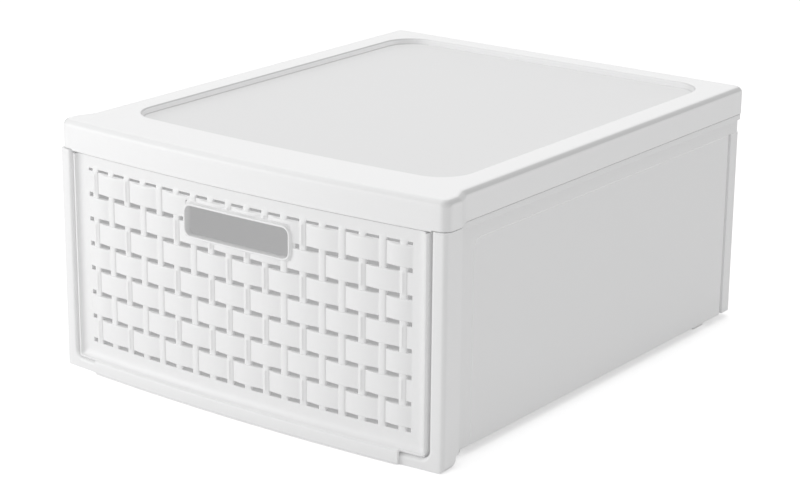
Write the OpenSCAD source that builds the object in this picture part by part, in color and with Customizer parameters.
// Stackable drawer box: a low storage box with one pull-out drawer that has a woven front.
// Eight moulded pieces: cover, front frame, two side panels, back panel, base, drawer bin, drawer front.
// Millimetres. +X is right seen from the front, +Y is to the back, +Z is up.
// The origin is the middle of the whole box's footprint, on the surface it stands on.
// Pieces are drawn in plan with y = 0 at the front corners of the side walls and moved back at the end.

/* [Box] */
// Width over the front frame
width = 340; // [300:1:420]
// Depth from the front corners to the back of the cover
depth = 400; // [360:1:460]
// Height from the floor to the rim of the cover
height = 185; // [172:1:240]
// Radius of the shallow bow of all the front faces, seen in plan
bow_radius = 1850; // [1500:10:3500]

/* [Cover] */
// How far the middle of the cover's front stands ahead of the front corners
cover_bow = 4; // [2:0.1:4.5]
// Height of the cover's skirt
skirt_height = 21; // [18:0.1:26]
// How far the front of the cover hangs below the skirt, over the drawer's top edge
fascia_drop = 1; // [0.6:0.1:1.2]
// Wall thickness of the skirt
skirt_wall = 2; // [1.6:0.1:2.6]
// Wall thickness of the cover's front
fascia_wall = 2.6; // [2:0.1:3]
// Thickness of the cover's top plate
plate_wall = 2.4; // [1.8:0.1:3]
// How far the skirt is set in from the wide front section, at each side
ear_inset = 5.5; // [4.5:0.1:7]
// Length of the wide front section, before it tapers to the skirt
ear_length = 19; // [14:0.5:22]
// Length of the taper behind the wide front section
ear_taper = 12.4; // [8:0.1:16]
// Rounding along the cover's top edge
rim_round = 5; // [3:0.1:6]
// Corner radius of the cover's front corners, in plan
front_corner = 7.5; // [6.5:0.1:9]
// Corner radius of the cover's back corners, in plan
back_corner = 8; // [6.5:0.1:10]
// Depth of the tray in the cover's top
tray_depth = 4.8; // [3:0.1:6]
// Width of the rim beside the tray, from the skirt's face
tray_side = 22.5; // [18:0.5:30]
// Width of the rim ahead of the tray, from the cover's front
tray_front = 44; // [38:0.5:60]
// Width of the rim behind the tray
tray_back = 21; // [18:0.5:30]
// Corner radius of the tray
tray_corner = 25; // [15:0.5:35]

/* [Front frame] */
// How far the middle of the bottom rail stands ahead of the front corners
frame_bow = 5.2; // [4.6:0.1:6]
// Width of the frame's side posts, seen from the front
post_width = 11.4; // [9:0.1:13]
// Height of the bottom rail
rail_height = 8; // [7:0.1:8.5]
// Wall thickness of the frame
frame_wall = 2.4; // [1.8:0.1:2.8]
// Depth of the frame's side returns
return_depth = 20.6; // [18:0.1:28]
// Corner radius of the frame's upright outer edges, in plan
post_corner = 4; // [2.5:0.1:6]
// Corner radius of the frame's bottom corners, seen from the front
foot_corner = 5; // [3:0.1:7]
// Radius of the lower corners of the drawer's opening, seen from the front
opening_corner = 6; // [3:0.1:6.5]
// Height of the rounded heel under each side return
heel_height = 8.5; // [6:0.1:10]
// How far the heel ends ahead of the return's back edge
heel_setback = 3.6; // [2:0.1:6]

/* [Casing] */
// How far the casing walls are set in from the cover's skirt
wall_inset = 2.2; // [2:0.1:2.5]
// Wall thickness of the side, back and base panels
panel_wall = 2.2; // [1.8:0.1:2.6]
// Height of the band round the top of the casing walls
band_height = 4; // [3:0.1:6]
// How far that band stands out from the walls
band_out = 1.8; // [1:0.1:2]
// How far the raised field stands out from the side walls
field_out = 0.6; // [0.4:0.1:1]
// Distance of the raised field from the front corners
field_start = 43.6; // [36:0.1:60]
// Distance of the raised field's top edge below the band
field_drop = 10; // [6:0.1:20]
// Corner radius of the raised field's upper front corner
field_corner = 8; // [4:0.5:15]
// Width of the groove between the side panels and the back panel
groove_width = 4; // [2.5:0.1:5]
// Length of the back panel's wrapped side returns
wrap_length = 14.4; // [12:0.1:25]
// Length of the tongues by which the back panel grips the side panels
tongue_length = 18; // [10:0.5:30]
// Height of the feet, which is the gap under the base panel
foot_height = 6; // [5:0.1:6.4]
// Length of each foot, front to back
foot_length = 14; // [10:0.5:25]
// Distance from the front corners to the front feet
front_foot = 27; // [24:0.5:60]
// Distance from the back of the cover to the back feet
back_foot = 48.5; // [40:0.5:80]
// Distance of the feet in from the side walls
foot_inset = 6; // [5:0.5:12]
// Width of each foot
foot_width = 10; // [8:0.5:14]
// Height of the runner ribs above the base panel
runner_height = 1.6; // [1:0.1:2.4]
// Height of the guide ribs beside the bin
guide_height = 6; // [4:0.1:10]
// Thickness of the guide ribs
guide_wall = 2; // [1.5:0.1:2.5]
// Width of the runner ribs
runner_width = 3; // [2:0.1:6]
// Distance of the runner ribs in from the guide ribs
runner_inset = 24; // [15:0.5:60]

/* [Drawer] */
// Gap between the drawer front's edge and the frame's posts
side_gap = 2.4; // [1.5:0.1:4]
// Gap between the drawer front's lower edge and the bottom rail
bottom_gap = 0.5; // [0.3:0.1:1]
// Gap between the drawer front's upper edge and the cover's front
top_gap = 1; // [0.6:0.1:2]
// How far the drawer front's edge lies behind the bottom rail's face
flange_setback = 0.2; // [0:0.1:0.6]
// Width of the raised edge at the sides and the bottom of the drawer front
flange_width = 2; // [1.5:0.1:3]
// How far the woven field lies behind that edge
field_setback = 3.4; // [2.5:0.1:4.5]
// Thickness of the woven field
field_wall = 2.2; // [1.6:0.1:3]
// Corner radius of the drawer front
flange_corner = 4.5; // [3:0.1:7]
// Wall thickness of the bin
bin_wall = 2; // [1.5:0.1:2.5]
// Gap between the bin and the guide ribs at each side
bin_gap = 1; // [0.6:0.1:1.5]
// Gap between the bin and the back panel
bin_back_gap = 7.6; // [5:0.1:20]
// Gap between the bin's upper edge and the frame's hidden top rail
bin_top_gap = 7; // [3:0.1:30]
// Corner radius of the bin's back corners
bin_corner = 12; // [4:0.5:20]
// Length of the clips by which the woven front holds to the bin
clip_length = 14; // [10:0.5:20]
// Length of the stop lugs on the bin's walls
lug_length = 14; // [8:0.5:20]
// Travel of the drawer to its stop
travel = 300; // [250:1:320]

/* [Pull lip] */
// Width of the pull lip under the drawer front
lip_width = 273; // [200:1:290]
// How far the lip stands ahead of the bottom rail
lip_out = 2.4; // [2.2:0.1:4]
// Thickness of the lip
lip_wall = 2.1; // [1.6:0.1:2.1]
// Gap between the lip and the floor
lip_floor_gap = 0.4; // [0.3:0.1:1.5]

/* [Weave] */
// Spacing of the upright stakes
stake_pitch = 16; // [14:0.05:20]
// Width of the stakes
stake_width = 5.7; // [3.5:0.1:6.5]
// Width of the short slots at both ends of each row
end_slot = 4; // [3:0.1:5]
// Height of the stakes' crown above the woven field
stake_out = 1; // [0.6:0.1:1.4]
// Spacing of the slot rows, which is one ribbon and one slot
row_pitch = 18.3; // [16:0.05:24]
// Height of the slots between the ribbons
slot_height = 3.2; // [2:0.1:3.6]
// Height of the slots of the top row
top_slot_height = 2; // [1.4:0.1:3.2]
// Height of the crown of the ribbons above the woven field
ribbon_out = 1.4; // [0.8:0.1:1.8]
// Distance of the top slot row below the drawer front's upper edge
top_row_drop = 9.8; // [7:0.1:12]
// Least distance of the lowest slot row above the drawer front's lower edge
bottom_margin = 12; // [8:0.5:14]
// Least distance of the weave from the sides of the drawer front
side_margin = 11; // [9:0.5:20]

/* [Handle] */
// Width of the finger opening
handle_width = 91; // [80:0.5:110]
// Height of the finger opening
handle_height = 21.5; // [19:0.1:26]
// How far the opening's middle lies above the middle of the second slot row
handle_rise = 0.7; // [0:0.1:1.6]
// Width of the collar round the opening
collar_width = 4; // [3:0.1:5]
// How far the collar stands ahead of the woven field
collar_out = 2.8; // [2.4:0.1:4]
// How far the collar reaches behind the woven field
collar_back = 2.6; // [2.4:0.1:6]
// Corner radius of the finger opening
handle_corner = 5; // [3:0.1:8]

/* [Hidden] */

// Fineness of the long bowed faces and of all other round shapes
bow_fn = 1440;
$fn = 64;
// Overlap of cutting shapes past what they cut, the seam between moulded pieces and the play in a fit
over = 1;
seam = 0.3;
fit = 0.2;
// Radius that eases a corner which stays nearly sharp
ease = 0.4;
// How far the field's edges lie inside the raised edge, and how far that reaches behind the field
field_inset = 0.75 * flange_width;
edge_rib = 0.8;
// Rounding along the tapers' top edges, which is a little less than the rest of the rim's
taper_round = 0.9 * rim_round;

// Places across, as half widths
half = width / 2;
skirt_x = half - ear_inset;
wall_x = skirt_x - wall_inset;
inner_x = wall_x - panel_wall;
tray_x = skirt_x - tray_side;
post_x = half - post_width;
flange_x = post_x - side_gap;
field_x = flange_x - field_inset;
tongue_x = inner_x - fit;
guide_x = tongue_x - panel_wall - fit;
bin_x = guide_x - guide_wall - bin_gap;

// Places from the front corners to the back
front_most = frame_bow + lip_out;
weave_bow = frame_bow - flange_setback - field_setback;
panel_y = return_depth - heel_height;
rail_y = bow_back(post_x) - cover_bow + fascia_wall + over;
wall_y = depth - wall_inset;
wrap_y = wall_y - wrap_length;
groove_y = wrap_y - groove_width;
bin_y = wall_y - panel_wall - bin_back_gap;
stop_y = return_depth + travel;

// Heights
cover_z = height - skirt_height;
band_z = cover_z - seam;
carry_z = height - plate_wall;
tray_z = height - tray_depth;
base_z = foot_height + panel_wall;
bin_z = base_z + runner_height;
flange_z0 = rail_height + bottom_gap;
flange_z1 = cover_z - fascia_drop - top_gap;
top_rail_z = cover_z + over;
bin_top_z = top_rail_z - bin_top_gap;

// Weave layout: whole columns left and right of the middle one, and slot rows below the top one
side_columns = floor((flange_x - side_margin - stake_width) / stake_pitch - 0.5);
stakes = 2 * side_columns + 2;
slot_width = stake_pitch - stake_width;
weave_x = (side_columns + 0.5) * stake_pitch + stake_width / 2;
// Width of the crease between a ribbon and a stake, and steps in the plan of a crown
crease = 0.3;
crown_steps = 8;
top_row_z = flange_z1 - top_row_drop;
rows = floor((top_row_z - flange_z0 - bottom_margin) / row_pitch) + 1;
handle_z = top_row_z - row_pitch + handle_rise - handle_height / 2;

// How far a bowed face lies back at x from its middle
function bow_back(x) = bow_radius - sqrt(bow_radius * bow_radius - x * x);

// The whole box is centred on its footprint
module placed() {
    translate([0, -(depth - front_most) / 2, 0]) children();
}

// Plan: everything behind a bowed front whose middle stands bow ahead of the front corners
module behind_bow(bow) {
    translate([0, bow_radius - bow]) circle(bow_radius, $fn = bow_fn);
}

// Plan: a bowed strip of even thickness
module bow_strip(bow, thick) {
    difference() {
        behind_bow(bow);
        behind_bow(bow - thick);
    }
}

// Outline standing on y = 0, with all corners round
module round_rect(w, h, r) {
    translate([-w / 2 + r, 0]) square([w - 2 * r, h]);
    translate([-w / 2, r]) square([w, h - 2 * r]);
    for (x = [r - w / 2, w / 2 - r], y = [r, h - r])
        translate([x, y]) circle(r);
}

// Where the centre of a front corner lies, for a corner of radius r that is tangent to the bow
function front_centre(half_w, bow, r) =
    bow_radius - bow - sqrt(pow(bow_radius - r, 2) - pow(half_w - r, 2));

// Plan cutters that round the two front corners behind a bow, tangent to it
module front_corners(half_w, bow, r) {
    lean = asin((half_w - r) / (bow_radius - r));
    for (s = [-1, 1]) translate([s * (half_w - r), front_centre(half_w, bow, r)]) difference() {
        polygon([[0, 0], [s * 3 * r, 0], [s * 3 * r, -3 * r], 3 * r * [s * sin(lean), -cos(lean)]]);
        circle(r);
    }
}

// Plan cutters that round the two back corners
module back_corners(half_w, back, r) {
    for (s = [-1, 1]) translate([s * (half_w - r), back - r]) difference() {
        translate([s > 0 ? 0 : -2 * r, 0]) square(2 * r);
        circle(r);
    }
}

// Plan of a block with a bowed front, a straight back and round corners
module bowed_plan(half_w, bow, back, r_front, r_back) {
    front_x = half_w - r_front;
    front_y = front_centre(half_w, bow, r_front);
    back_x = half_w - r_back;
    back_y = back - r_back;
    intersection() {
        behind_bow(bow);
        union() {
            translate([-half_w, front_y]) square([2 * half_w, back_y - front_y]);
            translate([-front_x, -bow]) square([2 * front_x, back_y + bow]);
            translate([-back_x, front_y]) square([2 * back_x, back - front_y]);
            for (s = [-1, 1]) {
                translate([s * front_x, front_y]) circle(r_front);
                translate([s * back_x, back_y]) circle(r_back);
            }
        }
    }
}

// A panel stood upright: an outline in x and z, cut from a bowed strip seen in plan
module bowed_panel(bow, thick) {
    intersection() {
        linear_extrude(height) bow_strip(bow, thick);
        translate([0, depth / 2, 0]) rotate([90, 0, 0]) linear_extrude(depth) children();
    }
}

// A block behind an upright face through point p, whose outward direction is turn degrees
// from +X. Its top edge is rounded by r.
module rounded_face(p, turn, z0, z1, r) {
    reach = 3 * depth;
    translate([p[0], p[1], z0]) rotate([90, 0, turn])
        linear_extrude(2 * reach, center = true) difference() {
            translate([-reach, 0]) square([reach, z1 - z0]);
            translate([-r, z1 - z0 - r]) difference() {
                square(2 * r);
                circle(r);
            }
        }
}

// A block behind a bowed face, with the top edge of the bow rounded by r
module rounded_bow(bow, z0, z1, r) {
    translate([0, bow_radius - bow, z0]) rotate_extrude($fn = bow_fn) difference() {
        square([bow_radius, z1 - z0]);
        translate([bow_radius - r, z1 - z0 - r]) difference() {
            square(2 * r);
            circle(r);
        }
    }
}

// ---- Cover -------------------------------------------------------------------------------

// Plan of the tray in the cover's top, grown by the given amount
module tray_plan(grow) {
    y0 = tray_front - cover_bow;
    bowed_plan(tray_x + grow, grow - y0, depth - tray_back + grow,
               tray_corner + grow, tray_corner + grow);
}

// What lies between two upright faces that mirror each other, through x = -half_w and half_w
module between_sides(half_w, y, turn, z0, r) {
    intersection() {
        rounded_face([half_w, y], turn, z0, height, r);
        rounded_face([-half_w, y], 180 - turn, z0, height, r);
    }
}

// The cover before it is hollowed: a wide front section that tapers to the skirt
module cover_block() {
    z0 = cover_z - fascia_drop;
    ear_end = ear_length + 2 * ear_taper;
    difference() {
        intersection() {
            rounded_bow(cover_bow, z0, height, rim_round);
            union() {
                intersection() {
                    between_sides(skirt_x, 0, 0, z0, rim_round);
                    rounded_face([0, depth], 90, z0, height, rim_round);
                }
                // The tapers run on into the narrower block
                intersection() {
                    between_sides(half, 0, 0, z0, rim_round);
                    between_sides(half, ear_length, atan2(ear_inset, ear_taper), z0,
                                  taper_round);
                    translate([-width, -depth, 0]) cube([2 * width, depth + ear_end, 2 * height]);
                }
            }
        }
        translate([0, 0, z0 - over]) linear_extrude(height) {
            front_corners(half, cover_bow, front_corner);
            back_corners(skirt_x, depth, back_corner);
        }
    }
}

module top_cover() color("whitesmoke") placed() difference() {
    cover_block();
    // The tray
    translate([0, 0, tray_z]) linear_extrude(tray_depth + over) tray_plan(0);
    // The hollow under the top plate, round the underside of the tray
    difference() {
        translate([0, 0, cover_z - fascia_drop - over])
            linear_extrude(carry_z - cover_z + fascia_drop + over)
                bowed_plan(skirt_x - skirt_wall, cover_bow - fascia_wall, depth - skirt_wall,
                           over, back_corner - skirt_wall);
        translate([0, 0, tray_z - plate_wall]) linear_extrude(height) tray_plan(plate_wall);
    }
    // Only the front hangs below the skirt, between the frame's posts
    difference() {
        translate([-width, -depth / 2, 0]) cube([2 * width, 2 * depth, cover_z]);
        translate([over - post_x, -depth, 0])
            cube([2 * (post_x - over), depth + return_depth, height]);
    }
}

// ---- Front frame -------------------------------------------------------------------------

// Side view of the frame: upright returns on a rounded heel
module return_profile() {
    y0 = -frame_bow - over;
    heel_y = return_depth - heel_setback - heel_height;
    translate([y0, heel_height]) square([return_depth - y0, height]);
    translate([y0, 0]) square([heel_y - y0, 2 * heel_height]);
    translate([heel_y, heel_height]) circle(heel_height);
}

// The inside of one post: a channel behind its front wall, and the slot that takes the side panel
module post_hollow() {
    y0 = bow_back(half) - frame_bow + frame_wall;
    translate([post_x + frame_wall, y0, frame_wall])
        cube([post_width - 2 * frame_wall, return_depth - frame_wall - y0, height]);
    translate([post_x - over, panel_y, foot_height])
        cube([wall_x + fit - post_x + over, return_depth, height]);
}

module front_frame() color("whitesmoke") placed() {
    difference() {
        intersection() {
            linear_extrude(band_z)
                bowed_plan(half, frame_bow, return_depth, post_corner, ease);
            translate([0, depth / 2, 0]) rotate([90, 0, 0]) linear_extrude(depth)
                round_rect(width, 2 * height, foot_corner);
            rotate([90, 0, 90]) linear_extrude(2 * width, center = true) return_profile();
        }
        // The drawer's opening, with round lower corners
        translate([0, depth / 2, rail_height]) rotate([90, 0, 0]) linear_extrude(depth)
            round_rect(2 * post_x, 2 * height, opening_corner);
        post_hollow();
        mirror([1, 0, 0]) post_hollow();
        // The bottom rail is a channel, open at the bottom and the back
        translate([0, 0, -over]) linear_extrude(rail_height - frame_wall + over) intersection() {
            behind_bow(frame_bow - frame_wall);
            translate([frame_wall - post_x, -depth / 2])
                square([2 * (post_x - frame_wall), depth]);
        }
    }
    // Two inner posts carry a top rail, which is hidden behind the cover's front
    for (s = [-1, 1])
        translate([s * (post_x + frame_wall / 2) - frame_wall / 2, rail_y, band_z])
            cube([frame_wall, panel_y - rail_y, carry_z - band_z]);
    translate([-post_x, rail_y, top_rail_z]) {
        cube([2 * post_x, frame_wall, carry_z - top_rail_z]);
        cube([2 * post_x, return_depth - rail_y, frame_wall]);
    }
}

// ---- Casing ------------------------------------------------------------------------------

// The right side panel: a wall with a band round its top and a raised field
module side_panel() {
    translate([inner_x, panel_y, foot_height])
        cube([panel_wall, groove_y - panel_y, carry_z - foot_height]);
    // Above the groove the wall runs on to the back panel
    translate([inner_x, groove_y, band_z - band_height - field_drop])
        cube([panel_wall, groove_width, carry_z - band_z + band_height + field_drop]);
    translate([wall_x, return_depth, band_z - band_height])
        cube([band_out, wrap_y - return_depth, band_height]);
    // The raised field, with its upper front corner round
    field_top = band_z - band_height - field_drop;
    translate([wall_x, 0, 0]) rotate([90, 0, 90]) linear_extrude(field_out) {
        translate([field_start, foot_height])
            square([groove_y - field_start, field_top - field_corner - foot_height]);
        translate([field_start + field_corner, foot_height])
            square([groove_y - field_start - field_corner, field_top - foot_height]);
        translate([field_start + field_corner, field_top - field_corner]) circle(field_corner);
    }
}

module side_panel_left() color("white") placed() mirror([1, 0, 0]) side_panel();

module side_panel_right() color("white") placed() side_panel();

// Plan of the back wall with its wrapped returns, between two outlines
module wrap_plan(out, wall) {
    difference() {
        back_plan(wall_x + out, wall_y + out);
        back_plan(wall_x - wall, wall_y - wall);
    }
}

module back_plan(x, y) {
    r = back_corner - wall_inset + x - wall_x;
    translate([0, wrap_y]) {
        translate([-x, 0]) square([2 * x, y - wrap_y - r]);
        translate([r - x, 0]) square([2 * (x - r), y - wrap_y]);
        for (s = [-1, 1]) translate([s * (x - r), y - wrap_y - r]) circle(r);
    }
}

module back_panel() color("white") placed() {
    field_top = band_z - band_height - field_drop;
    translate([0, 0, foot_height]) linear_extrude(carry_z - foot_height)
        wrap_plan(0, panel_wall);
    translate([0, 0, foot_height]) linear_extrude(field_top - foot_height)
        wrap_plan(field_out, over);
    translate([0, 0, band_z - band_height]) linear_extrude(band_height)
        wrap_plan(band_out, over);
    // Tongues that reach forward inside the side panels, joined on behind the groove
    for (s = [0, 1]) mirror([s, 0, 0]) {
        translate([tongue_x - panel_wall, wrap_y - tongue_length, base_z])
            cube([panel_wall, tongue_length + over, carry_z - tray_depth - base_z - over]);
        translate([tongue_x - panel_wall, wrap_y, base_z])
            cube([wall_x - tongue_x + over, over, carry_z - tray_depth - base_z - over]);
    }
}

module base_panel() color("white") placed() {
    y0 = return_depth;
    y1 = wall_y - panel_wall;
    lap_x = post_x - frame_wall - fit;
    lap_z = rail_height - frame_wall - panel_wall;
    translate([-inner_x, y0, foot_height]) cube([2 * inner_x, groove_y - y0, panel_wall]);
    back_x = inner_x - back_corner;
    translate([-back_x, y0, foot_height]) cube([2 * back_x, y1 - y0, panel_wall]);
    // The front edge steps down and reaches under the bottom rail's top
    translate([-lap_x, rail_y, lap_z])
        cube([2 * lap_x, y0 + panel_wall - rail_y, panel_wall]);
    translate([-lap_x, y0, lap_z])
        cube([2 * lap_x, panel_wall, base_z - lap_z]);
    for (s = [0, 1]) mirror([s, 0, 0]) {
        // Feet near the front and the back
        for (y = [front_foot, depth - back_foot])
            translate([wall_x - foot_inset - foot_width, y, 0])
                cube([foot_width, foot_length, foot_height + over]);
        // A guide rib beside the bin and a runner rib under it
        translate([guide_x - guide_wall, y0 + over, foot_height])
            cube([guide_wall, wrap_y - tongue_length - y0 - 2 * over, panel_wall + guide_height]);
        translate([guide_x - runner_inset - runner_width, y0 + over, foot_height])
            cube([runner_width, bin_y - y0 - back_corner, panel_wall + runner_height]);
    }
}

// ---- Drawer ------------------------------------------------------------------------------

// Plan of the bin at a distance inside its outer face. It butts against the rib of the front
module bin_plan(wall) {
    bowed_plan(bin_x - wall, weave_bow - field_wall - edge_rib, bin_y - wall,
               ease, bin_corner - wall);
}

module drawer_bin() color("white") placed() {
    difference() {
        translate([0, 0, bin_z]) linear_extrude(bin_top_z - bin_z) bin_plan(0);
        translate([0, 0, bin_z + bin_wall]) linear_extrude(height) bin_plan(bin_wall);
        // Its front is open: the woven front closes it
        translate([bin_wall - bin_x, -depth / 2, bin_z + bin_wall])
            cube([2 * (bin_x - bin_wall), depth / 2 + return_depth, height]);
    }
    // Lugs on its side walls meet the frame's top rail when the drawer is fully out
    for (s = [-1, 1]) translate([s * (bin_x - bin_wall / 2) - bin_wall / 2, stop_y, bin_z])
        cube([bin_wall, lug_length, top_rail_z + frame_wall - bin_z]);
}

// The outline of the drawer front, inset by the given amount. It runs on past the front's top
module front_outline(inset) {
    translate([0, flange_z0 + inset])
        round_rect(2 * (flange_x - inset), 2 * height, flange_corner - inset);
}

// Middle of the stake with the given number, counted from the left
function stake_place(i) = (i - (stakes - 1) / 2) * stake_pitch;

// Plan point at x that stands out from the field's bowed face by the given lift
function on_field(x, lift) = [x, bow_back(x) - weave_bow - lift];

// Back of the field, from right to left
back_line = [on_field(field_x, -field_wall),
             for (i = [stakes - 1 : -1 : 0]) on_field(stake_place(i), -field_wall),
             on_field(-field_x, -field_wall)];

// Plan of the plain field
module field_plan() {
    polygon([on_field(-field_x, 0), for (i = [0 : stakes - 1]) on_field(stake_place(i), 0),
             on_field(field_x, 0), each back_line]);
}

// Where the ribbon that passes over stake i dives under the next stake, or ends
function ribbon_end(i, side) =
    let (next = i + side)
    next < 0 || next >= stakes ? side * (weave_x + end_slot)
                               : stake_place(next) - side * (stake_width / 2 + crease);

// Crown of a ribbon, flat in the middle, and crown of a stake, round, in even steps
function ribbon_crown(i) =
    let (x0 = ribbon_end(i, -1), x1 = ribbon_end(i, 1))
    [for (k = [0 : crown_steps]) let (t = 2 * k / crown_steps - 1)
        on_field((x0 + x1) / 2 + t * (x1 - x0) / 2, ribbon_out * (1 - t * t))];
function stake_crown(i) =
    [for (k = [0 : crown_steps]) let (t = 2 * k / crown_steps - 1)
        on_field(stake_place(i) + t * stake_width / 2, stake_out * sqrt(1 - t * t))];

// Plan of a ribbon: it passes over every second stake and under the others
module ribbon_plan(row) {
    polygon([on_field(-field_x, 0),
             for (i = [0 : stakes - 1]) each (row + i) % 2 == 0 ? ribbon_crown(i) : stake_crown(i),
             on_field(field_x, 0), each back_line]);
}

// Plan of a slot row: the field with a slot between every two stakes and a short one at each end
module slot_plan() {
    difference() {
        field_plan();
        for (i = [-side_columns : side_columns])
            translate([i * stake_pitch - slot_width / 2, -depth / 2]) square([slot_width, depth]);
        for (s = [-1, 1])
            translate([s * (weave_x + end_slot / 2) - end_slot / 2, -depth / 2])
                square([end_slot, depth]);
    }
}

// Lower and upper edge of the slots in a row
function slot_low(row) =
    top_row_z - row * row_pitch - (row == 0 ? top_slot_height : slot_height) / 2;
function slot_high(row) =
    top_row_z - row * row_pitch + (row == 0 ? top_slot_height : slot_height) / 2;

// A layer of the field from z0 to z1
module layer(z0, z1) {
    translate([0, 0, z0]) linear_extrude(z1 - z0) children();
}

// The field in layers: plain below and above the weave, slot rows and ribbons by turns between
module woven_field() {
    layer(flange_z0 + field_inset, slot_low(rows - 1)) field_plan();
    layer(slot_high(0), flange_z1) field_plan();
    for (row = [0 : rows - 1]) layer(slot_low(row), slot_high(row)) slot_plan();
    for (row = [1 : rows - 1]) layer(slot_high(row), slot_low(row - 1)) ribbon_plan(row);
}

// The handle's outline at a distance outside the finger opening
module handle_outline(grow) {
    translate([0, handle_z - grow])
        round_rect(handle_width + 2 * grow, handle_height + 2 * grow, handle_corner + grow);
}

module pull_lip() {
    bow = frame_bow + lip_out;
    bowed_panel(bow, lip_wall) translate([0, lip_floor_gap])
        round_rect(lip_width, flange_z0 + flange_width - lip_floor_gap, over);
    // The lip's top turns back into the raised edge
    bowed_panel(bow, lip_out + flange_setback + flange_width) translate([0, flange_z0])
        round_rect(lip_width, flange_width, ease);
}

module drawer_front() color("white") placed() {
    edge_bow = frame_bow - flange_setback;
    difference() {
        union() {
            // The raised edge stands at the sides and the bottom, and ends at the front's top
            bowed_panel(edge_bow, field_setback + field_wall + edge_rib) intersection() {
                difference() {
                    front_outline(0);
                    front_outline(flange_width);
                }
                translate([-half, 0]) square([width, flange_z1]);
            }
            woven_field();
            bowed_panel(weave_bow + collar_out, collar_out + collar_back)
                handle_outline(collar_width);
        }
        bowed_panel(weave_bow + collar_out + over, collar_out + collar_back + 2 * over)
            handle_outline(0);
    }
    pull_lip();
    // Side clips that hold the front between the bin's walls
    clip_z = bin_z + 2 * bin_wall;
    for (s = [0, 1]) mirror([s, 0, 0])
        translate([bin_x - 2 * bin_wall, bow_back(bin_x) - weave_bow + field_wall / 2, clip_z])
            cube([bin_wall, clip_length, bin_top_z - bin_wall - clip_z]);
}

top_cover();
front_frame();
side_panel_left();
side_panel_right();
back_panel();
base_panel();
drawer_bin();
drawer_front();
